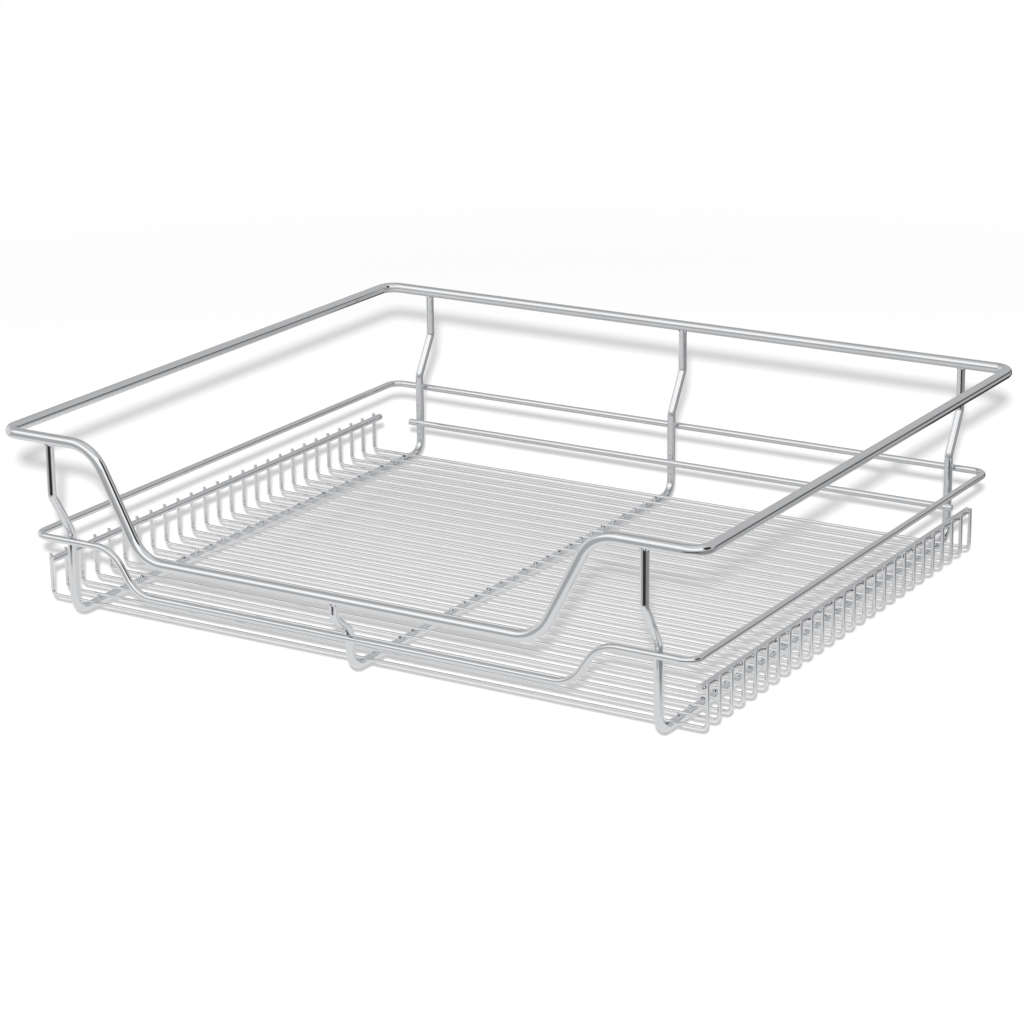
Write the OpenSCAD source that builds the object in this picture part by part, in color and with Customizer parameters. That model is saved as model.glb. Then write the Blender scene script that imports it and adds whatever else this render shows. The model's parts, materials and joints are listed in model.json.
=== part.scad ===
// Wire basket that pulls out of a kitchen cabinet on two side runners.
// Every wire is a piece of its own, bent from straight lengths and round bends, and welded where it
// touches the next. Millimetres, +Z up, front towards -Y. The origin is under the middle of the basket,
// at the height of the undersides of the three supports.

/* [Overall size] */
// Width over the top rim
basket_w = 550; // [440:1:900]
// Depth over the top rim, front to back
basket_d = 490; // [380:1:560]
// Height from the underside of the supports to the top of the rim
basket_h = 137; // [125:1:200]

/* [Wire thickness] */
// Thickness of the top rim
rim_wire = 8; // [6:0.5:10]
// Thickness of the middle rail
rail_wire = 5; // [4:0.5:6]
// Thickness of the three U-shaped supports
support_wire = 6; // [5:0.5:8]
// Thickness of the straight rail low on the back
back_rail_wire = 5; // [4:0.5:6]
// Thickness of the straight wire along the top of each side wall
side_wire = 5; // [4:0.5:6]
// Thickness of the wires of the floor and side walls
floor_wire = 2.5; // [2:0.1:4]

/* [Top rim] */
// Radius of the rim's corners, at the wire's centre
rim_corner_r = 12; // [8:1:30]
// Height of the low front run of the rim, at the wire's centre
rim_front_z = 57; // [50:1:75]
// Distance from the rim's side to the top of the slope into the low front run
rim_slope_inset = 76; // [60:1:110]
// Distance across the basket that each slope of the rim takes
rim_slope_w = 39.5; // [25:0.5:70]
// Radius of the bends at both ends of the rim's slopes
rim_slope_r = 28; // [16:1:34]

/* [Middle rail] */
// Height of the middle rail, at the wire's centre
rail_z = 56.5; // [50:0.5:70]
// Distance that the middle rail lies inside the rim on the left and right
rail_side_inset = 11.6; // [8:0.1:13]
// Radius of the middle rail's corners
rail_corner_r = 10; // [6:1:16]
// Height of the low front run of the middle rail
rail_front_z = 26; // [22:0.5:30]
// Distance from the rim's side to the top of the middle rail's slope
rail_slope_inset = 79; // [60:1:110]
// Distance across the basket that each slope of the middle rail takes
rail_slope_w = 20; // [12:0.5:40]
// Radius of the bends at both ends of the middle rail's slopes
rail_slope_r = 24; // [8:1:26]

/* [Supports] */
// Distance from a side wall's wire to the outer support beside it
support_inset = 25; // [12:1:60]
// Distance that the joggle brings each leg in from the rim towards the middle
joggle_in = 18; // [14:0.5:26]
// Height of the joggle in a long leg, between its two bends
joggle_h = 30; // [20:1:34]
// Height of the joggle in the centre support's short front leg
short_joggle_h = 14; // [11:0.5:17]
// Straight length of a back leg between the middle rail and its joggle
back_joggle_rise = 9; // [3:0.5:14]
// Straight length of a long front leg between the middle rail and its joggle
front_joggle_rise = 3.5; // [1:0.5:14]
// Straight length of the short front leg between the middle rail and its joggle
short_joggle_rise = 0.5; // [0.2:0.1:2]
// Radius of the bends in the joggles
joggle_r = 7; // [5:0.5:9]
// Radius of the bends where the legs turn into the run under the floor
foot_r = 12; // [7:0.5:13]

/* [Lower back rail] */
// Height of the lower back rail, at the wire's centre
back_rail_z = 29; // [24:0.5:48]
// Distance that each end of the lower back rail runs past its outer support
back_rail_overhang = 6; // [0:0.5:15]

/* [Floor and side walls] */
// Distance that the wire along the top of a side wall lies inside the rim
wall_inset = 14.5; // [6:0.5:30]
// Height of the wire along the top of a side wall, at its centre
wall_z = 34.5; // [22:0.5:45]
// Wanted distance from one floor wire to the next
floor_pitch = 16.4; // [12:0.1:30]
// Radius of the bends from the floor into the side walls
wall_bend_r = 4; // [3:0.5:9]
// Distance from the front legs to the first floor wire
floor_front_gap = 11; // [9:0.5:30]
// Distance from the last floor wire to the back legs
floor_back_gap = 25; // [9:0.5:60]
// Distance that the ends of the floor wires stand above the wires along the side walls
wall_end_rise = 0.4; // [0:0.1:3]
// Distance that the wire along a side wall runs past the first and last floor wires
wall_overhang = 3.5; // [1.5:0.5:8]

/* [Welds] */
// Distance left between two wires that a weld joins
weld_gap = 0.05; // [0.02:0.01:0.2]

/* [Hidden] */
// A joint between two lengths of one wire is covered by a collar, a hair thicker than the wire
collar_proud = 0.01;
collar_len = 0.4;
collar_gap = 0.05;
// Sides that the preview draws on a wire and on a full turn of a bend
wire_sides = 24;
bend_sides = 96;
// How far a cutting tool runs past what it cuts
cut_past = 1;

rim_r = rim_wire / 2;
rail_r = rail_wire / 2;
support_r = support_wire / 2;
back_rail_r = back_rail_wire / 2;
side_r = side_wire / 2;
floor_r = floor_wire / 2;

// Centre lines of the rim
rim_x = (basket_w - rim_wire) / 2;
rim_y = (basket_d - rim_wire) / 2;
rim_z = basket_h - rim_r;

// The legs below their joggles, and the rails that lie against their outer and inner faces
leg_y = rim_y - joggle_in;
rail_x = rim_x - rail_side_inset;
rail_y = leg_y + support_r + rail_r + weld_gap;
back_rail_y = leg_y - support_r - back_rail_r - weld_gap;

// The side walls: a straight wire along the top, the floor wires welded to its outer face
side_x = rim_x - wall_inset;
wall_x = side_x + side_r + floor_r + weld_gap;
wall_top = wall_z + side_r + wall_end_rise;
support_x = side_x - support_inset;

// The floor wires lie across the three supports, evenly spaced from front to back
floor_z = support_wire + floor_r + weld_gap;
floor_first_y = -leg_y + floor_front_gap;
floor_last_y = leg_y - floor_back_gap;
floor_gaps = round((floor_last_y - floor_first_y) / floor_pitch);
floor_step = (floor_last_y - floor_first_y) / floor_gaps;

// Name of a floor wire, counted from the front
function floor_wire_name(i) = str("floor_wire_", i < 9 ? "0" : "", i + 1);

// Directions that wires set out in
RIGHT = [1, 0, 0];
DOWN = [0, 0, -1];
TO_FRONT = [0, -1, 0];

// Length that a round bend takes from each of the two straights that it joins
function bend_take(r, angle) = r * tan(angle / 2);

// Puts a wire in place: its +Z runs along the direction, and its +X faces the turn
module set_out(from, direction, turn) {
    side = cross(direction, turn);
    multmatrix([
        [turn.x, side.x, direction.x, from.x],
        [turn.y, side.y, direction.y, from.y],
        [turn.z, side.z, direction.z, from.z]
    ]) children();
}

// Covers the joint between a straight and a bend, so that both become one solid
module collar(r) {
    cylinder(r = r + collar_proud, h = collar_len, center = true, $fn = wire_sides);
}

// A round bend that starts along +Z and turns towards a side, given as an angle about +Z from +X.
// Its section starts at the same point of the wire as that of the straight before it.
module bend(r, bend_r, angle, side) {
    rotate(side) translate([bend_r, 0, 0]) rotate([90, 0, 180])
        rotate_extrude(angle = angle, $fn = bend_sides)
            translate([bend_r, 0]) rotate(180 + side) circle(r = r, $fn = wire_sides);
}

// Moves on to the end of such a bend, with no twist
module past_bend(bend_r, angle, side) {
    rotate(side) translate([bend_r * (1 - cos(angle)), 0, bend_r * sin(angle)])
        rotate([0, angle, 0]) rotate(-side) children();
}

// A bent wire that starts at the origin along +Z. Each step is [straight length, bend angle,
// bend radius, side], where the side that the bend turns to is an angle about the wire from +X.
// The last step is a straight length alone. Lengths stop a hair short of the joints that collars cover.
module bent_wire(steps, r, joined_ends = false, i = 0) {
    last = i == len(steps) - 1;
    run = steps[i][0];
    head = i > 0 || joined_ends ? collar_gap : 0;
    tail = !last || joined_ends ? collar_gap : 0;
    translate([0, 0, head]) cylinder(r = r, h = run - head - tail, $fn = wire_sides);
    if (!last) {
        angle = steps[i][1];
        bend_r = steps[i][2];
        side = steps[i][3];
        translate([0, 0, run]) {
            collar(r);
            bend(r, bend_r, angle, side);
            past_bend(bend_r, angle, side) {
                collar(r);
                bent_wire(steps, r, joined_ends, i + 1);
            }
        }
    }
}

// A closed loop of wire with rounded corners, whose front run drops to a lower height between two
// slopes. One half is set out from the middle of the back, and the other mirrors it.
module dipped_loop(r, x, y, z, corner_r, front_z, slope_top_x, slope_w, slope_r) {
    drop = z - front_z;
    angle = atan2(drop, slope_w);
    take = bend_take(slope_r, angle);
    slope = norm([slope_w, drop]);
    half = [
        [x - corner_r, 90, corner_r, 0],
        [2 * (y - corner_r), 90, corner_r, 0],
        [x - corner_r - slope_top_x - take, angle, slope_r, 90],
        [slope - 2 * take, angle, slope_r, -90],
        [slope_top_x - slope_w - take]
    ];
    for (hand = [0, 1]) mirror([hand, 0, 0])
        set_out([0, y, z], RIGHT, TO_FRONT) bent_wire(half, r, joined_ends = true);
    set_out([0, y, z], RIGHT, TO_FRONT) collar(r);
    set_out([0, -y, front_z], RIGHT, -TO_FRONT) collar(r);
}

// Rim cylinder that the end of a leg is shaped to
module leg_seat(x, y, z) {
    translate([x, y, z]) rotate([0, 90, 0])
        cylinder(r = rim_r + weld_gap, h = 2 * (support_r + cut_past), center = true, $fn = bend_sides);
}

// One support, bent from a single wire: down from the back rim, a joggle inwards, along under the
// floor, up, a joggle outwards, and up to the front rim. Both ends are shaped to the rim's underside.
module support(x, front_top_z, front_rail_z, front_rise, front_joggle_h) {
    back_angle = atan2(joggle_in, joggle_h);
    back_take = bend_take(joggle_r, back_angle);
    back_low = rail_z + back_joggle_rise + back_take;
    front_angle = atan2(joggle_in, front_joggle_h);
    front_take = bend_take(joggle_r, front_angle);
    front_low = front_rail_z + front_rise + front_take;
    foot_top = support_r + foot_r;
    steps = [
        [rim_z - (back_low + joggle_h + back_take), back_angle, joggle_r, 0],
        [norm([joggle_in, joggle_h]) - 2 * back_take, back_angle, joggle_r, 180],
        [back_low - back_take - foot_top, 90, foot_r, 0],
        [2 * (leg_y - foot_r), 90, foot_r, 0],
        [front_low - front_take - foot_top, front_angle, joggle_r, 180],
        [norm([joggle_in, front_joggle_h]) - 2 * front_take, front_angle, joggle_r, 0],
        [front_top_z - (front_low + front_joggle_h + front_take)]
    ];
    difference() {
        set_out([x, rim_y, rim_z], DOWN, TO_FRONT) bent_wire(steps, support_r);
        leg_seat(x, rim_y, rim_z);
        leg_seat(x, -rim_y, front_top_z);
    }
}

module top_rim() {
    color("silver") dipped_loop(rim_r, rim_x, rim_y, rim_z, rim_corner_r, rim_front_z,
        rim_x - rim_slope_inset, rim_slope_w, rim_slope_r);
}

module middle_rail() {
    color("silver") dipped_loop(rail_r, rail_x, rail_y, rail_z, rail_corner_r, rail_front_z,
        rim_x - rail_slope_inset, rail_slope_w, rail_slope_r);
}

module lower_back_rail() {
    color("silver") translate([0, back_rail_y, back_rail_z]) rotate([0, 90, 0])
        cylinder(r = back_rail_r, h = 2 * (support_x + back_rail_overhang), center = true, $fn = wire_sides);
}

module outer_support(x) {
    color("gainsboro") support(x, rim_z, rail_z, front_joggle_rise, joggle_h);
}

// Its front leg is short, because it meets the low front run of the rim
module centre_support() {
    color("gainsboro") support(0, rim_front_z, rail_front_z, short_joggle_rise, short_joggle_h);
}

module side_wall_wire(x) {
    front_y = floor_first_y - wall_overhang;
    back_y = floor_last_y + wall_overhang;
    color("silver") translate([x, back_y, wall_z]) rotate([90, 0, 0])
        cylinder(r = side_r, h = back_y - front_y, $fn = wire_sides);
}

// One wire of the floor, turned up at both ends into a bar of each side wall
module floor_wire(i) {
    steps = [
        [wall_top - floor_z - wall_bend_r, 90, wall_bend_r, 0],
        [2 * (wall_x - wall_bend_r), 90, wall_bend_r, 0],
        [wall_top - floor_z - wall_bend_r]
    ];
    color("lightgray")
        set_out([-wall_x, floor_first_y + i * floor_step, wall_top], DOWN, RIGHT) bent_wire(steps, floor_r);
}

top_rim();
middle_rail();
lower_back_rail();
outer_support(-support_x);  // left_support
centre_support();
outer_support(support_x);  // right_support
side_wall_wire(-side_x);  // left_side_wire
side_wall_wire(side_x);  // right_side_wire
for (i = [0 : floor_gaps])
    floor_wire(i);
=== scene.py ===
"""Chromed wire basket that pulls out of a kitchen cabinet: finishes, welds, cut ends and studio."""

import json
import math

import bmesh
import bpy
from bpy.props import FloatProperty, FloatVectorProperty, IntProperty, PointerProperty
from mathutils import Matrix, Vector


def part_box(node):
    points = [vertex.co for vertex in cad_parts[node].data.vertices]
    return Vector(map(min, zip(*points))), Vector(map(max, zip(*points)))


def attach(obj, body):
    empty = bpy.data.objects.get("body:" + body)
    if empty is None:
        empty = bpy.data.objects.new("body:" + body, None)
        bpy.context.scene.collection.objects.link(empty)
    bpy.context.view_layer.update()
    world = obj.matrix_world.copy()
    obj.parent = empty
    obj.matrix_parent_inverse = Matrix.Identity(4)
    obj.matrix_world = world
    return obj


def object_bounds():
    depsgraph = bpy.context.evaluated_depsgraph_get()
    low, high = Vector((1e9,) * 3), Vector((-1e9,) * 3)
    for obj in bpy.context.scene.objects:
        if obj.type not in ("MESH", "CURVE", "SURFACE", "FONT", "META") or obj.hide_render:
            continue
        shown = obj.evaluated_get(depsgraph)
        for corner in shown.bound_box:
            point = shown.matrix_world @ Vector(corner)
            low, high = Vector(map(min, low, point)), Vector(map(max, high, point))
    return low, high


bl_info = {
    "name": "Pull-out wire basket",
    "version": (1, 0, 0),
    "blender": (4, 5, 0),
    "location": "3D View > Sidebar > Wire Basket",
    "description": "Chromed wires, welds, sheared ends and studio of a pull-out wire basket",
    "category": "Object",
}

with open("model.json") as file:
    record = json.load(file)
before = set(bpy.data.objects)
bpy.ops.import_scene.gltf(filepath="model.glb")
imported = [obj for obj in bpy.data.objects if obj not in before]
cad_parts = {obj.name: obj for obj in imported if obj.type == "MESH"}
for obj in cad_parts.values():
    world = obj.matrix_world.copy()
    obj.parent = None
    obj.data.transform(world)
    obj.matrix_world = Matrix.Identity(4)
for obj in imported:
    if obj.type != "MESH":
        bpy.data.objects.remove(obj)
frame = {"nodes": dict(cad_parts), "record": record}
CAD_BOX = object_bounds()
X, Y, Z = Vector((1, 0, 0)), Vector((0, 1, 0)), Vector((0, 0, 1))


# ---- Sizes ----

class WireSizes(bpy.types.PropertyGroup):
    """Gauges and gap that can't be read off the frame's boxes"""

    rim: FloatProperty(
        name="Rim wire", description="Thickness of the top rim's wire",
        default=0.008, min=0.004, max=0.012, precision=4, unit="LENGTH")
    rail: FloatProperty(
        name="Rail wire", description="Thickness of the middle rail's wire",
        default=0.005, min=0.003, max=0.008, precision=4, unit="LENGTH")
    gap: FloatProperty(
        name="Weld gap", description="Distance that the frame leaves between two welded wires",
        default=0.00005, min=0.0, max=0.001, precision=5, unit="LENGTH")


class WeldSizes(bpy.types.PropertyGroup):
    """The metal squeezed out where two wires are welded"""

    thin_spread: FloatProperty(
        name="Floor weld", description="Reach of a weld of a floor wire, from its middle",
        default=0.0013, min=0.0005, max=0.002, precision=5, unit="LENGTH")
    rail_spread: FloatProperty(
        name="Rail weld", description="Reach of a weld of a rail against a leg, from its middle",
        default=0.0013, min=0.0005, max=0.003, precision=5, unit="LENGTH")
    rim_spread: FloatProperty(
        name="Rim weld", description="How far the weld under the rim stands out from the leg",
        default=0.0008, min=0.0002, max=0.002, precision=5, unit="LENGTH")
    rim_fall: FloatProperty(
        name="Rim weld height", description="How far the weld under the rim runs down the leg",
        default=0.0018, min=0.0005, max=0.004, precision=5, unit="LENGTH")
    waist: FloatProperty(
        name="Waist", description="How much narrower a weld is halfway between the wires",
        default=0.22, min=0.0, max=0.6, subtype="FACTOR")
    flash: FloatProperty(
        name="Flash", description="Half the width of the metal squeezed out beside a floor wire",
        default=0.0011, min=0.0002, max=0.002, precision=5, unit="LENGTH")
    sides: IntProperty(
        name="Sides", description="Points around each weld", default=20, min=8, max=48)


class ChromeFinish(bpy.types.PropertyGroup):
    """Bright chrome plate over drawn wire"""

    plate: FloatVectorProperty(
        name="Plate", description="Colour of the chrome plate", subtype="COLOR", size=3,
        default=(0.80, 0.81, 0.825), min=0.0, max=1.0)
    thin_plate: FloatVectorProperty(
        name="Floor plate", description="Colour of the chrome plate on the floor wires",
        subtype="COLOR", size=3, default=(0.83, 0.84, 0.855), min=0.0, max=1.0)
    haze: FloatProperty(
        name="Haze", description="Roughness of the plate between its bright patches",
        default=0.06, min=0.0, max=0.6, subtype="FACTOR")
    weld_metal: FloatVectorProperty(
        name="Weld metal", description="Colour of the plate over the welds", subtype="COLOR", size=3,
        default=(0.92, 0.925, 0.94), min=0.0, max=1.0)
    # near-black spots in the welds: burnt metal in part, and in part painted shade for the dark
    # recesses at the crossings
    pits_and_shade: FloatProperty(
        name="Weld pits", description="How dark the burnt pits in the welds are",
        default=0.9, min=0.0, max=1.0, subtype="FACTOR")
    cut_steel: FloatVectorProperty(
        name="Sheared ends", description="Colour of the thin plate on the sheared ends",
        subtype="COLOR", size=3, default=(0.84, 0.84, 0.85), min=0.0, max=1.0)


class StudioLight(bpy.types.PropertyGroup):
    """Plain soft light on a pale floor"""

    floor_tone: FloatProperty(
        name="Floor tone", description="How pale the floor is",
        default=0.8, min=0.0, max=1.0, subtype="FACTOR")
    floor_glow: FloatProperty(
        name="Floor glow", description="Even light of the floor itself, which keeps it white",
        default=0.085, min=0.0, max=1.0)
    floor_drop: FloatProperty(
        name="Floor drop", description="How far the basket is held above the floor, as by its runners",
        default=0.02, min=0.0, max=0.4, unit="LENGTH")
    sheet: FloatProperty(
        name="White sheet", description="Brightness of the floor below the basket in the chrome",
        default=0.82, min=0.0, max=1.5)
    light_bank: FloatProperty(
        name="Light bank", description="Brightness of the bank of light high in front, in the chrome",
        default=1.16, min=0.0, max=3.0)
    walls: FloatProperty(
        name="Walls", description="Brightness of the room's walls in the chrome",
        default=0.56, min=0.0, max=1.5)
    plain_level: FloatProperty(
        name="Plain level", description="Brightness of the room for all that it lights",
        default=0.66, min=0.0, max=1.5)
    key_place: FloatVectorProperty(
        name="Key place", description="Where the key light hangs", size=3, subtype="TRANSLATION",
        default=(1.155, -1.95, 0.888), unit="LENGTH")
    key_size: FloatProperty(
        name="Key size", description="Width of the key light",
        default=0.065, min=0.0, max=1.0, unit="LENGTH")
    key_power: FloatProperty(
        name="Key power", description="Power of the key light, in watts",
        default=67.0, min=0.0, max=500.0)


SIZE_GROUPS = {
    "basket_wires": WireSizes,
    "basket_welds": WeldSizes,
    "basket_chrome": ChromeFinish,
    "basket_studio": StudioLight,
}


def middle(node):
    low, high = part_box(node)
    return (low + high) / 2


def half(node):
    low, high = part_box(node)
    return (high - low) / 2


FLOOR_WIRES = sorted(n for n in frame["nodes"] if n.startswith("floor_wire_"))
SUPPORTS = ["left_support", "centre_support", "right_support"]
SIDE_WIRES = ["left_side_wire", "right_side_wire"]


# ---- Shaping ----

WELD_LEVELS = 6                     # steps from one side of a weld to the other
WELD_SINK = 0.00008                 # how deep a weld goes into each of its two wires
WELD_REACH = 0.96                   # the most of a wire's radius that a weld may cover
BEAD_LENGTH = 1.6                   # length of a squeezed-out bead, over its width
BEAD_HEIGHT = 0.8                   # height of a bead, over its width
BEAD_PLACE = 0.95                   # where a bead's middle lies, over the upper wire's radius
BEAD_RINGS = range(-75, 76, 25)     # heights of a bead's rings, in degrees up its round side
RIM_SINK = 0.0001                   # how deep the weld round a leg goes into the rim
LEG_SINK = 0.00004                  # how deep it goes into the leg
LEG_CORE = 0.8                      # where its hidden inner face lies, over the leg's radius
LEG_EXTRA_SIDES = 8                 # how many points it has beyond those of the smaller welds

# The end of a sheared wire, as (reach outwards, height), both over the wire's radius
END_PROFILE = ((1.0, -0.08), (1.0, 0.0), (0.97, 0.07), (0.90, 0.13), (0.75, 0.16), (0.35, 0.12))


def add_rings(bm, rings, loop=False):
    """Skins a row of rings, and closes it as a loop, or with fans at its two ends."""
    rows = [[bm.verts.new(p) for p in ring] for ring in rings]
    count = len(rows[0])
    for low, high in zip(rows, rows[1:] + rows[:1] if loop else rows[1:]):
        for k in range(count):
            bm.faces.new((low[k], low[(k + 1) % count], high[(k + 1) % count], high[k]))
    if not loop:
        for row, turn in ((rows[0], -1), (rows[-1], 1)):
            hub = bm.verts.new(sum((v.co for v in row), Vector()) / count)
            for k in range(count):
                a, b = row[k], row[(k + 1) % count]
                bm.faces.new((a, b, hub) if turn > 0 else (b, a, hub))


def round_about(u, v, sides):
    """Directions around the middle, as (share along u, share along v, direction)."""
    for k in range(sides):
        turn = 2 * math.pi * k / sides
        yield math.cos(turn), math.sin(turn), u * math.cos(turn) + v * math.sin(turn)


def half_thickness(r, off):
    """Half the thickness of a round wire at a distance off from its middle line, short of its edge."""
    return math.sqrt(r ** 2 - min(abs(off), WELD_REACH * r) ** 2)


def cross_weld(bm, at, over, along, over_r, under_r, spread, sizes):
    """A saddle of metal between two wires that cross at right angles, flowing onto both.
    over points from the lower wire to the upper one, and the upper one runs the way of along."""
    across = over.cross(along)
    spread = min(spread, WELD_REACH * over_r, WELD_REACH * under_r)
    rings = []
    for n in range(WELD_LEVELS + 1):
        t = n / WELD_LEVELS
        reach = spread * (1 - sizes.waist * math.sin(math.pi * t))
        ring = []
        for c, s, way in round_about(along, across, sizes.sides):
            onto_over = over_r - half_thickness(over_r, spread * s)
            onto_under = under_r - half_thickness(under_r, spread * c)
            height = t * (onto_over + WELD_SINK) - (1 - t) * (onto_under + WELD_SINK)
            ring.append(at + way * reach + over * height)
        rings.append(ring)
    add_rings(bm, rings)


def flash_beads(bm, at, over, along, over_r, under_r, sizes):
    """The two beads that are squeezed out of a crossing, one on each side of the upper wire. They
    lie bent over the lower wire."""
    across = over.cross(along)
    wide, long, high = sizes.flash, BEAD_LENGTH * sizes.flash, BEAD_HEIGHT * sizes.flash
    for side in (-1, 1):
        rings = []
        for climb in map(math.radians, BEAD_RINGS):
            ring = []
            for c, s, _ in round_about(along, across, sizes.sides):
                reach = long * c * math.cos(climb)
                height = high * math.sin(climb) - (under_r - half_thickness(under_r, reach))
                beside = side * BEAD_PLACE * over_r + wide * s * math.cos(climb)
                ring.append(at + along * reach + over * height + across * beside)
            rings.append(ring)
        add_rings(bm, rings)


def thin_weld(bm, at, over, along, over_r, under_r, sizes):
    """The weld of a floor wire where it crosses a thicker wire, with its beads."""
    cross_weld(bm, at, over, along, over_r, under_r, sizes.thin_spread, sizes)
    flash_beads(bm, at, over, along, over_r, under_r, sizes)


def seat_weld(bm, leg_x, leg_r, rim_y, rim_z, rim_r, sizes):
    """The fillet around the top of a leg, where it meets the underside of the rim."""
    rings = [[] for _ in range(WELD_LEVELS + 2)]
    for _, s, way in round_about(X, Y, sizes.sides + LEG_EXTRA_SIDES):
        out = leg_r + sizes.rim_spread
        seat = rim_z - half_thickness(rim_r, leg_r * s)
        onto_rim = rim_z - half_thickness(rim_r, out * s) + RIM_SINK
        low = seat - sizes.rim_fall
        for n in range(WELD_LEVELS + 1):
            # a hollow curve from the leg's face out to the rim's
            turn = n / WELD_LEVELS * math.pi / 2
            reach = leg_r - LEG_SINK + sizes.rim_spread * (1 - math.cos(turn))
            height = low + (onto_rim - low) * math.sin(turn)
            rings[n].append(Vector((leg_x, rim_y, height)) + way * reach)
        # and back through the leg's metal, a third of the way down the weld
        inside = Vector((leg_x, rim_y, seat - sizes.rim_fall / 3))
        rings[-1].append(inside + way * LEG_CORE * leg_r)
    add_rings(bm, rings, loop=True)


def sheared_end(bm, at, out, r, sides):
    """The end of a sheared wire after tumbling: a rounded edge and a shallow dished face."""
    u = out.orthogonal().normalized()
    v = out.cross(u)
    rings = [
        [at + way * (r * wide) + out * (r * high) for _, _, way in round_about(u, v, sides)]
        for wide, high in END_PROFILE
    ]
    add_rings(bm, rings)


def make_piece(name, bm, material):
    """Turns the mesh into a smooth piece that rides with the basket."""
    mesh = bpy.data.meshes.new(name)
    bmesh.ops.recalc_face_normals(bm, faces=bm.faces)
    bm.to_mesh(mesh)
    bm.free()
    mesh.polygons.foreach_set("use_smooth", [True] * len(mesh.polygons))
    mesh.materials.append(material)
    piece = bpy.data.objects.new(name, mesh)
    bpy.context.scene.collection.objects.link(piece)
    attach(piece, "root")


# ---- Finishes ----

DULL_PLATE = (0.52, 0.53, 0.56, 1.0)    # what the plate leans to in its hazy patches
DUST_TINT = (0.5, 0.49, 0.47, 1.0)
PIT_AND_PAINTED_SHADE_TINT = (0.05, 0.05, 0.055, 1.0)     # burnt metal in a weld, and painted shade standing in for the dark recesses of its crossings
DUST_PER_METRE = 2600.0                 # how fine the dust is


def add_node(tree, kind, inputs=None, **settings):
    """A node with its settings, and its inputs as values or as sockets to link."""
    node = tree.nodes.new(kind)
    for name, value in settings.items():
        setattr(node, name, value)
    for name, value in (inputs or {}).items():
        if isinstance(value, bpy.types.NodeSocket):
            tree.links.new(value, node.inputs[name])
        else:
            node.inputs[name].default_value = value
    return node


def ramp(tree, value, start, full, low=0.0, high=1.0, curve="LINEAR"):
    """A value that goes from low to high while another goes from start to full."""
    return add_node(tree, "ShaderNodeMapRange", {
        "Value": value, "From Min": start, "From Max": full, "To Min": low, "To Max": high},
        interpolation_type=curve).outputs[0]


def tinted(tree, mask, colour, tint):
    """The colour where the mask is 0 and the tint where it is 1."""
    return add_node(tree, "ShaderNodeMix", {"Factor": mask, "A": colour, "B": tint},
                    data_type="RGBA").outputs["Result"]


def plated_wire_group():
    """Bright plate over drawn wire: clear and hazy patches, fine dust, a faint ripple, and near-black
    spots where the ripple is high, which are burnt metal in part and painted shade in part."""
    name = "Plated wire"
    if name in bpy.data.node_groups:
        return bpy.data.node_groups[name]
    tree = bpy.data.node_groups.new(name, "ShaderNodeTree")
    face = tree.interface
    for socket, kind, default in (
        ("Plate", "NodeSocketColor", (0.8, 0.8, 0.8, 1.0)),
        ("Haze", "NodeSocketFloat", 0.1),
        ("Dust", "NodeSocketFloat", 0.1),
        ("Patch Size", "NodeSocketFloat", 0.03),
        ("Ripple Size", "NodeSocketFloat", 0.006),
        # how dark the near-black spots are: burnt metal and painted shade
        ("Pits", "NodeSocketFloat", 0.0),
    ):
        made = face.new_socket(socket, in_out="INPUT", socket_type=kind)
        made.default_value = default
    for socket, kind in (
        ("Color", "NodeSocketColor"), ("Roughness", "NodeSocketFloat"), ("Height", "NodeSocketFloat"),
    ):
        face.new_socket(socket, in_out="OUTPUT", socket_type=kind)
    given = tree.nodes.new("NodeGroupInput").outputs
    place = tree.nodes.new("ShaderNodeTexCoord").outputs["Object"]

    def per_metre(size):
        return add_node(tree, "ShaderNodeMath", {0: 1.0, 1: size}, operation="DIVIDE").outputs[0]

    def noise(scale, detail, roughness=0.5):
        return add_node(tree, "ShaderNodeTexNoise", {
            "Vector": place, "Scale": scale, "Detail": detail, "Roughness": roughness}).outputs[0]

    patches = noise(per_metre(given["Patch Size"]), detail=3.0, roughness=0.55)
    ripple = noise(per_metre(given["Ripple Size"]), detail=1.0)
    dust = noise(DUST_PER_METRE, detail=2.0, roughness=0.7)

    hazy = ramp(tree, patches, start=0.35, full=0.7, low=0.35, high=1.3, curve="SMOOTHSTEP")
    specks = ramp(tree, dust, start=0.58, full=0.72, high=given["Dust"])
    rough = add_node(tree, "ShaderNodeMath", {0: given["Haze"], 1: hazy}, operation="MULTIPLY")
    rough = add_node(tree, "ShaderNodeMath", {0: rough.outputs[0], 1: specks}, operation="ADD")

    dull = ramp(tree, patches, start=0.3, full=0.7, high=0.12)
    # near-black spots where the ripple is high: burnt metal, and painted shade standing in for the
    # dark recesses of the welds
    pit_and_shade_mask = ramp(tree, ripple, start=0.50, full=0.57, high=given["Pits"])
    colour = tinted(tree, dull, given["Plate"], DULL_PLATE)
    colour = tinted(tree, specks, colour, DUST_TINT)
    colour = tinted(tree, pit_and_shade_mask, colour, PIT_AND_PAINTED_SHADE_TINT)

    out = tree.nodes.new("NodeGroupOutput")
    tree.links.new(colour, out.inputs["Color"])
    tree.links.new(rough.outputs[0], out.inputs["Roughness"])
    tree.links.new(ripple, out.inputs["Height"])
    return tree


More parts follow.
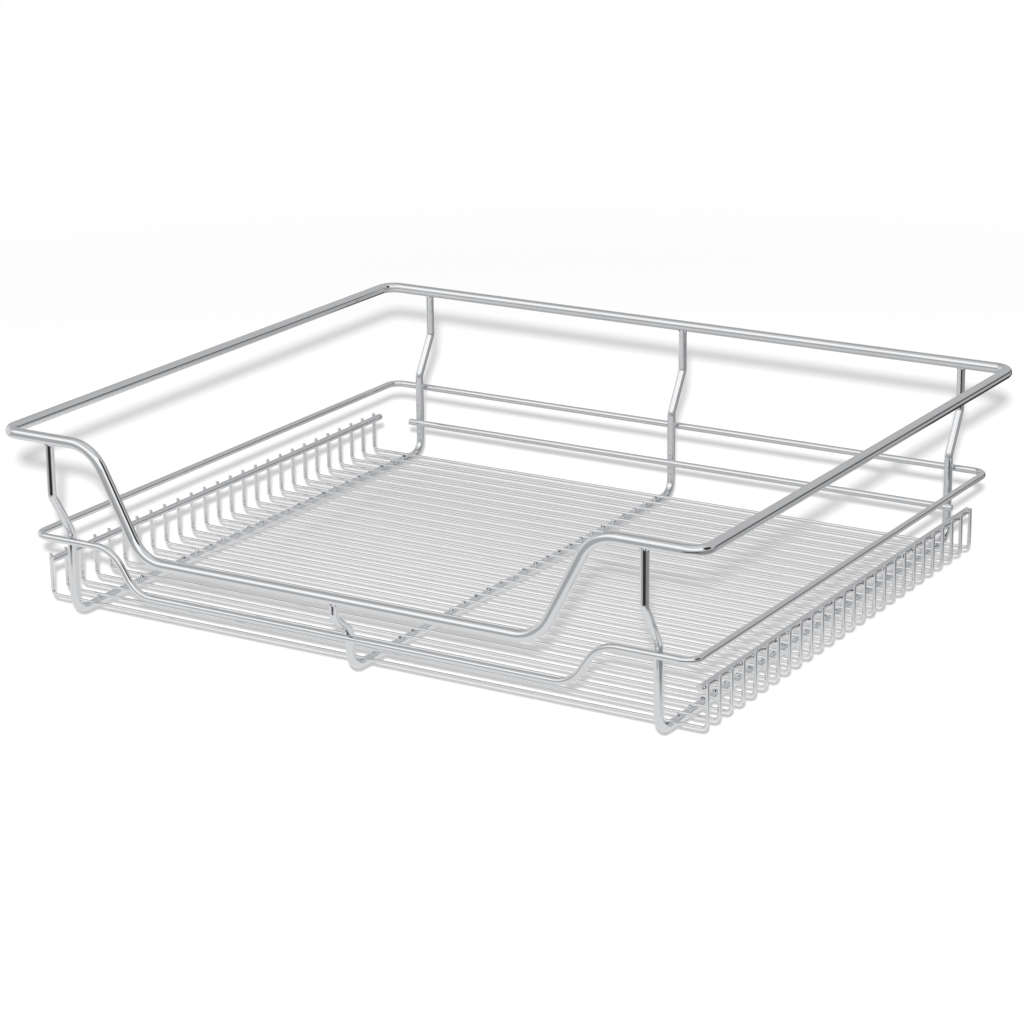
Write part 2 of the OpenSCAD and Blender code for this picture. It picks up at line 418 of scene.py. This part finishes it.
def plated_material(name, plate, haze, dust, patch_size, ripple_size, ripple_depth, pits_and_shade=0.0):
    """Chrome plate with its own haze, dust, ripple, and near-black spots of burnt metal and painted
    shade.
    """
    made = bpy.data.materials.new(name)
    made.use_nodes = True
    tree = made.node_tree
    shader = tree.nodes["Principled BSDF"]
    plating = add_node(tree, "ShaderNodeGroup", node_tree=plated_wire_group())
    plating.inputs["Plate"].default_value = (*plate, 1.0)
    plating.inputs["Haze"].default_value = haze
    plating.inputs["Dust"].default_value = dust
    plating.inputs["Patch Size"].default_value = patch_size
    plating.inputs["Ripple Size"].default_value = ripple_size
    plating.inputs["Pits"].default_value = pits_and_shade
    bump = add_node(tree, "ShaderNodeBump", {
        "Height": plating.outputs["Height"], "Distance": ripple_depth, "Strength": 1.0})
    tree.links.new(plating.outputs["Color"], shader.inputs["Base Color"])
    tree.links.new(plating.outputs["Roughness"], shader.inputs["Roughness"])
    tree.links.new(bump.outputs["Normal"], shader.inputs["Normal"])
    shader.inputs["Metallic"].default_value = 1.0
    made.diffuse_color = (*plate, 1.0)
    return made


def finish_for(kind):
    """The finish of one kind of wire, made on its first use."""
    chrome = bpy.context.scene.basket_chrome
    recipes = {
        "Rim chrome": dict(
            plate=chrome.plate, haze=chrome.haze, dust=0.06,
            patch_size=0.045, ripple_size=0.011, ripple_depth=0.00006),
        "Rail chrome": dict(
            plate=chrome.plate, haze=chrome.haze, dust=0.08,
            patch_size=0.035, ripple_size=0.009, ripple_depth=0.00005),
        "Support chrome": dict(
            plate=chrome.plate, haze=chrome.haze * 1.1, dust=0.08,
            patch_size=0.030, ripple_size=0.008, ripple_depth=0.00007),
        "Floor wire chrome": dict(
            plate=chrome.thin_plate, haze=chrome.haze * 1.2, dust=0.10,
            patch_size=0.025, ripple_size=0.006, ripple_depth=0.00003),
        # the welds' near-black spots are burnt metal in part and painted shade in part
        "Weld chrome": dict(
            plate=chrome.weld_metal, haze=chrome.haze * 1.6, dust=0.20,
            patch_size=0.004, ripple_size=0.0012, ripple_depth=0.00022, pits_and_shade=chrome.pits_and_shade),
        "Sheared end": dict(
            plate=chrome.cut_steel, haze=chrome.haze * 4.0, dust=0.30,
            patch_size=0.002, ripple_size=0.0007, ripple_depth=0.00008),
    }
    return bpy.data.materials.get(kind) or plated_material(kind, **recipes[kind])


WIRE_FINISHES = {
    "rim_wire": "Rim chrome",
    "rail_wire": "Rail chrome",
    "support_wire": "Support chrome",
    "floor_wire": "Floor wire chrome",
}


# ---- Pieces ----

class BASKET_OT_plate_wires(bpy.types.Operator):
    """Give every wire of the frame the chrome of its own gauge"""

    bl_idname = "basket.plate_wires"
    bl_label = "Plate the Wires"

    def execute(self, context):
        for part in frame["record"]["subparts"]:
            node = frame["nodes"][part["node"]]
            finish = finish_for(WIRE_FINISHES[part["material_slot"]])
            for slot in node.material_slots:
                slot.material = finish
        return {"FINISHED"}


class BASKET_OT_floor_welds(bpy.types.Operator):
    """Weld each floor wire to the three supports that it lies on"""

    bl_idname = "basket.floor_welds"
    bl_label = "Weld the Floor"

    def execute(self, context):
        wires, welds = context.scene.basket_wires, context.scene.basket_welds
        for support in SUPPORTS:
            bm = bmesh.new()
            support_r = half(support).x
            for wire in FLOOR_WIRES:
                at = Vector((middle(support).x, middle(wire).y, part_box(wire)[0].z - wires.gap / 2))
                thin_weld(bm, at, Z, X, half(wire).y, support_r, welds)
            make_piece("floor_welds_" + support, bm, finish_for("Weld chrome"))
        return {"FINISHED"}


class BASKET_OT_wall_welds(bpy.types.Operator):
    """Weld the turned-up floor wires to the wire along the top of each side wall"""

    bl_idname = "basket.wall_welds"
    bl_label = "Weld the Side Walls"

    def execute(self, context):
        wires, welds = context.scene.basket_wires, context.scene.basket_welds
        for side_wire in SIDE_WIRES:
            bm = bmesh.new()
            centre, side_r = middle(side_wire), half(side_wire).x
            out = X if centre.x > 0 else -X
            for wire in FLOOR_WIRES:
                at = Vector((centre.x, middle(wire).y, centre.z)) + out * (side_r + wires.gap / 2)
                thin_weld(bm, at, out, Z, half(wire).y, side_r, welds)
            make_piece("wall_welds_" + side_wire, bm, finish_for("Weld chrome"))
        return {"FINISHED"}


class BASKET_OT_rail_welds(bpy.types.Operator):
    """Weld the middle rail and the lower back rail to the legs of the supports"""

    bl_idname = "basket.rail_welds"
    bl_label = "Weld the Rails"

    def execute(self, context):
        wires, welds = context.scene.basket_wires, context.scene.basket_welds
        low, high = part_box("middle_rail")
        rail_r = wires.rail / 2
        back_rail, back_rail_r = middle("lower_back_rail"), half("lower_back_rail").z
        for support in SUPPORTS:
            bm = bmesh.new()
            x, leg_r = middle(support).x, half(support).x
            front_z = low.z + rail_r if support == "centre_support" else high.z - rail_r
            inside = high.y - 2 * rail_r - wires.gap / 2
            behind = back_rail + X * (x - back_rail.x) + Y * (back_rail_r + wires.gap / 2)
            for at, over, over_r in (
                (Vector((x, inside, high.z - rail_r)), Y, rail_r),
                (Vector((x, -inside, front_z)), -Y, rail_r),
                (behind, -Y, back_rail_r),
            ):
                cross_weld(bm, at, over, X, over_r, leg_r, welds.rail_spread, welds)
            make_piece("rail_welds_" + support, bm, finish_for("Weld chrome"))
        return {"FINISHED"}


class BASKET_OT_rim_welds(bpy.types.Operator):
    """Weld the shaped tops of the legs to the underside of the rim"""

    bl_idname = "basket.rim_welds"
    bl_label = "Weld the Rim"

    def execute(self, context):
        wires, welds = context.scene.basket_wires, context.scene.basket_welds
        low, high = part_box("top_rim")
        rim_r = wires.rim / 2
        bm = bmesh.new()
        for support in SUPPORTS:
            x, leg_r = middle(support).x, half(support).x
            front_z = low.z + rim_r if support == "centre_support" else high.z - rim_r
            seat_weld(bm, x, leg_r, high.y - rim_r, high.z - rim_r, rim_r, welds)
            seat_weld(bm, x, leg_r, low.y + rim_r, front_z, rim_r, welds)
        make_piece("rim_welds", bm, finish_for("Weld chrome"))
        return {"FINISHED"}


class BASKET_OT_sheared_ends(bpy.types.Operator):
    """Round the sheared ends of the floor wires, the side wires and the lower back rail"""

    bl_idname = "basket.sheared_ends"
    bl_label = "Finish the Wire Ends"

    def execute(self, context):
        sides = context.scene.basket_welds.sides
        bm = bmesh.new()
        for wire in FLOOR_WIRES:
            (low, high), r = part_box(wire), half(wire).y
            for x in (low.x + r, high.x - r):
                sheared_end(bm, Vector((x, middle(wire).y, high.z)), Z, r, sides)
        make_piece("floor_wire_ends", bm, finish_for("Sheared end"))
        bm = bmesh.new()
        for wire in SIDE_WIRES:
            for way in (Y, -Y):
                at = middle(wire) + way * half(wire).y
                sheared_end(bm, at, way, half(wire).x, sides)
        for way in (X, -X):
            at = middle("lower_back_rail") + way * half("lower_back_rail").x
            sheared_end(bm, at, way, half("lower_back_rail").z, sides)
        make_piece("rail_ends", bm, finish_for("Sheared end"))
        return {"FINISHED"}


# ---- Studio ----

WHITE = (1.0, 1.0, 1.0, 1.0)
# How bright the parts of the room are in the chrome
WALL_FOOT = 0.85                    # foot of the walls, over their brightness higher up
CEILING = 0.72
LEFT_WALL = 0.80
FAR_FLOOR = 0.47                    # floor beyond the white sheet
DARK = 0.03                         # openings of the room

# The floor, in metres from the middle of the basket
FLOOR_HALF_WIDTH = 8.0
WHITE_FROM, WHITE_AT = 0.9, 1.5     # where the floor starts to turn white, and is white
SHEET_EDGES = (                     # edges of the white sheet, as (axis, starts, full)
    ("X", 0.40, 0.31), ("X", -0.52, -0.45), ("Y", -0.45, -0.37), ("Y", 0.39, 0.33))
DIM_FROM, DIM_AT = -0.10, 0.35      # where the sheet starts to dim towards its back, and is dim
DIM_SHARE = 0.58                    # its brightness there, over that in front

CAMERA_PLACE = (1.096744, -1.817485, 0.727485)
CAMERA_TURN = math.radians(31.326)  # from the basket's front towards its right
CAMERA_CLIMB = math.radians(17.709)
CAMERA_ROLL = math.radians(-0.66)
CAMERA_LENS = 109.43                # focal length in millimetres
CAMERA_SENSOR = 36.0                # width in millimetres


def toward(turn, height):
    """The direction at a turn from the front towards the right, and a height, in radians."""
    return Vector((math.sin(turn) * math.cos(height), -math.cos(turn) * math.cos(height),
                   math.sin(height)))


def blended(tree, mask, low, high):
    """low where the mask is 0 and high where it is 1, as a grey value."""
    return add_node(tree, "ShaderNodeMix", {"Factor": mask, "A": low, "B": high},
                    data_type="FLOAT").outputs[0]


def edge_mask(tree, value, start, full):
    """A soft step from 0 at start to 1 at full."""
    return ramp(tree, value, start, full, curve="SMOOTHSTEP")


def all_of(tree, *masks):
    """Where every one of the masks holds."""
    both = masks[0]
    for mask in masks[1:]:
        both = add_node(tree, "ShaderNodeMath", {0: both, 1: mask}, operation="MULTIPLY").outputs[0]
    return both


def studio_world(studio):
    """White for the camera, and a plain level for all that is lit. The chrome sees a white light
    bank high in front, grey walls, a pale wall on the left, and some dark openings."""
    world = bpy.data.worlds.new("Soft studio")
    world.use_nodes = True
    tree = world.node_tree
    way = tree.nodes.new("ShaderNodeTexCoord").outputs["Generated"]
    height = add_node(tree, "ShaderNodeSeparateXYZ", {0: way}).outputs["Z"]

    def height_edge(start, full):
        return edge_mask(tree, height, start, full)

    def patched(room, tone, turn, climb, start, full, heights=()):
        """The room with a patch of another tone round one direction, given in degrees. start and
        full are cosines of angles from it, and heights are level edges, as sines of climbs."""
        aim = toward(math.radians(turn), math.radians(climb))
        dot = add_node(tree, "ShaderNodeVectorMath", {0: way, 1: aim}, operation="DOT_PRODUCT")
        mask = edge_mask(tree, dot.outputs["Value"], start, full)
        mask = all_of(tree, mask, *(height_edge(*edge) for edge in heights))
        return blended(tree, mask, room, tone)

    walls = blended(tree, height_edge(0.0, 0.5), studio.walls * WALL_FOOT, studio.walls)
    above = blended(tree, height_edge(0.83, 0.90), walls, CEILING)
    # the light bank, the left wall, and an opening high on the right
    above = patched(above, studio.light_bank, turn=8, climb=0, start=0.05, full=0.30,
                    heights=((0.23, 0.45), (0.88, 0.80)))
    above = patched(above, LEFT_WALL, turn=-95, climb=0, start=0.80, full=0.93)
    above = patched(above, DARK, turn=95, climb=32, start=0.925, full=0.970)
    # a dimmer corner high behind on the left, and a dark line low behind on the right
    above = patched(above, tone=0.44, turn=-135, climb=48, start=0.90, full=0.97)
    above = patched(above, tone=0.07, turn=150, climb=5, start=0.88, full=0.95,
                    heights=((0.26, 0.17), (-0.01, 0.04)))

    # a dimmer floor on the right, a dark band in front, the left wall's foot, and a spot behind
    below = patched(FAR_FLOOR, tone=0.30, turn=80, climb=-15, start=0.3, full=0.9)
    below = patched(below, DARK, turn=18, climb=-17, start=0.70, full=0.95,
                    heights=((-0.42, -0.33), (-0.07, -0.16)))
    below = patched(below, LEFT_WALL, turn=-95, climb=0, start=0.80, full=0.93)
    below = patched(below, DARK, turn=180, climb=-22, start=0.93, full=0.98)
    room = blended(tree, height_edge(-0.01, 0.01), below, above)

    rays = add_node(tree, "ShaderNodeLightPath").outputs
    level = blended(tree, rays["Is Glossy Ray"], studio.plain_level, room)
    for seen in ("Is Camera Ray", "Is Transmission Ray"):
        level = blended(tree, rays[seen], level, 1.0)
    tree.links.new(level, tree.nodes["Background"].inputs["Color"])
    return world


def floor_material(studio):
    """Pale floor that keeps the basket's shadow and is white further off. The chrome sees it as a
    white sheet under the basket, with the room beyond its edges."""
    made = bpy.data.materials.new("Pale floor")
    made.use_nodes = True
    tree = made.node_tree
    tree.nodes.remove(tree.nodes["Principled BSDF"])

    def shining(strength):
        return add_node(tree, "ShaderNodeEmission", {"Color": WHITE, "Strength": strength}).outputs[0]

    def mixed(mask, low, high):
        return add_node(tree, "ShaderNodeMixShader", {0: mask, 1: low, 2: high}).outputs[0]

    tone = studio.floor_tone
    matt = add_node(tree, "ShaderNodeBsdfDiffuse", {"Color": (tone, tone, tone, 1.0)}).outputs[0]
    glow = shining(studio.floor_glow)
    lit = add_node(tree, "ShaderNodeAddShader", {0: matt, 1: glow}).outputs[0]
    place = add_node(tree, "ShaderNodeNewGeometry").outputs["Position"]
    away = add_node(tree, "ShaderNodeVectorMath", {0: place}, operation="LENGTH").outputs["Value"]
    shown = mixed(edge_mask(tree, away, WHITE_FROM, WHITE_AT), lit, shining(1.0))

    along = add_node(tree, "ShaderNodeSeparateXYZ", {0: place}).outputs
    on_sheet = all_of(tree, *(
        edge_mask(tree, along[axis], start, full) for axis, start, full in SHEET_EDGES))
    dim = edge_mask(tree, along["Y"], DIM_FROM, DIM_AT)
    sheet = shining(blended(tree, dim, studio.sheet, studio.sheet * DIM_SHARE))
    beyond = add_node(tree, "ShaderNodeBsdfTransparent").outputs[0]
    in_chrome = add_node(tree, "ShaderNodeLightPath").outputs["Is Glossy Ray"]
    surface = mixed(in_chrome, shown, mixed(on_sheet, beyond, sheet))
    tree.links.new(surface, tree.nodes["Material Output"].inputs["Surface"])
    return made


def key_lamp(studio):
    """A soft lamp above and behind the camera, even all over the floor."""
    key = bpy.data.lights.new("key_light", "POINT")
    key.energy = studio.key_power
    key.shadow_soft_size = studio.key_size / 2
    key.use_nodes = True
    tree = key.node_tree
    even = add_node(tree, "ShaderNodeLightFalloff", {"Strength": 1.0}).outputs["Constant"]
    tree.links.new(even, tree.nodes["Emission"].inputs["Strength"])
    lamp = bpy.data.objects.new("key_light", key)
    lamp.location = studio.key_place
    lamp.visible_glossy = False
    return lamp


def photo_camera():
    """The camera that was fitted to the wires in the photo."""
    lens = bpy.data.cameras.new("camera")
    lens.sensor_width, lens.lens = CAMERA_SENSOR, CAMERA_LENS
    lens.clip_start, lens.clip_end = 0.1, 30.0
    camera = bpy.data.objects.new("camera", lens)
    back = toward(CAMERA_TURN, CAMERA_CLIMB)
    right = Vector((-back.y, back.x, 0.0)).normalized()
    up = back.cross(right)
    right, up = (right * math.cos(CAMERA_ROLL) + up * math.sin(CAMERA_ROLL),
                 up * math.cos(CAMERA_ROLL) - right * math.sin(CAMERA_ROLL))
    camera.matrix_world = Matrix.Translation(CAMERA_PLACE) @ Matrix(
        (right, up, back)).transposed().to_4x4()
    return camera


class BASKET_OT_studio(bpy.types.Operator):
    """Set the floor, the key light, the soft room and the camera"""

    bl_idname = "basket.studio"
    bl_label = "Set Up the Studio"

    def execute(self, context):
        scene, studio = context.scene, context.scene.basket_studio
        bm = bmesh.new()
        bmesh.ops.create_grid(bm, x_segments=8, y_segments=8, size=FLOOR_HALF_WIDTH)
        mesh = bpy.data.meshes.new("floor")
        bm.to_mesh(mesh)
        bm.free()
        mesh.materials.append(floor_material(studio))
        floor = bpy.data.objects.new("floor", mesh)
        floor.location.z = CAD_BOX[0].z - studio.floor_drop
        scene.collection.objects.link(floor)

        scene.world = studio_world(studio)
        scene.collection.objects.link(key_lamp(studio))
        camera = photo_camera()
        scene.collection.objects.link(camera)
        scene.camera = camera
        scene.view_settings.view_transform = "Standard"
        return {"FINISHED"}


class BASKET_PT_pieces(bpy.types.Panel):
    """The pieces of the basket, and their sizes and colours"""

    bl_idname = "BASKET_PT_pieces"
    bl_label = "Pull-out Wire Basket"
    bl_space_type = "VIEW_3D"
    bl_region_type = "UI"
    bl_category = "Wire Basket"

    def draw(self, context):
        for operator in OPERATORS:
            self.layout.operator(operator.bl_idname)
        for name, group in SIZE_GROUPS.items():
            box = self.layout.box()
            box.label(text=group.__doc__)
            for key in group.__annotations__:
                box.prop(getattr(context.scene, name), key)


OPERATORS = (
    BASKET_OT_plate_wires,
    BASKET_OT_floor_welds,
    BASKET_OT_wall_welds,
    BASKET_OT_rail_welds,
    BASKET_OT_rim_welds,
    BASKET_OT_sheared_ends,
    BASKET_OT_studio,
)


def register():
    for made in (*SIZE_GROUPS.values(), *OPERATORS, BASKET_PT_pieces):
        bpy.utils.register_class(made)
    for name, group in SIZE_GROUPS.items():
        setattr(bpy.types.Scene, name, PointerProperty(type=group))


def unregister():
    for name in SIZE_GROUPS:
        delattr(bpy.types.Scene, name)
    for made in reversed((*SIZE_GROUPS.values(), *OPERATORS, BASKET_PT_pieces)):
        bpy.utils.unregister_class(made)


def main():
    register()
    bpy.ops.basket.plate_wires()
    bpy.ops.basket.floor_welds()
    bpy.ops.basket.wall_welds()
    bpy.ops.basket.rail_welds()
    bpy.ops.basket.rim_welds()
    bpy.ops.basket.sheared_ends()
    bpy.ops.basket.studio()


if __name__ == "__main__":
    main()
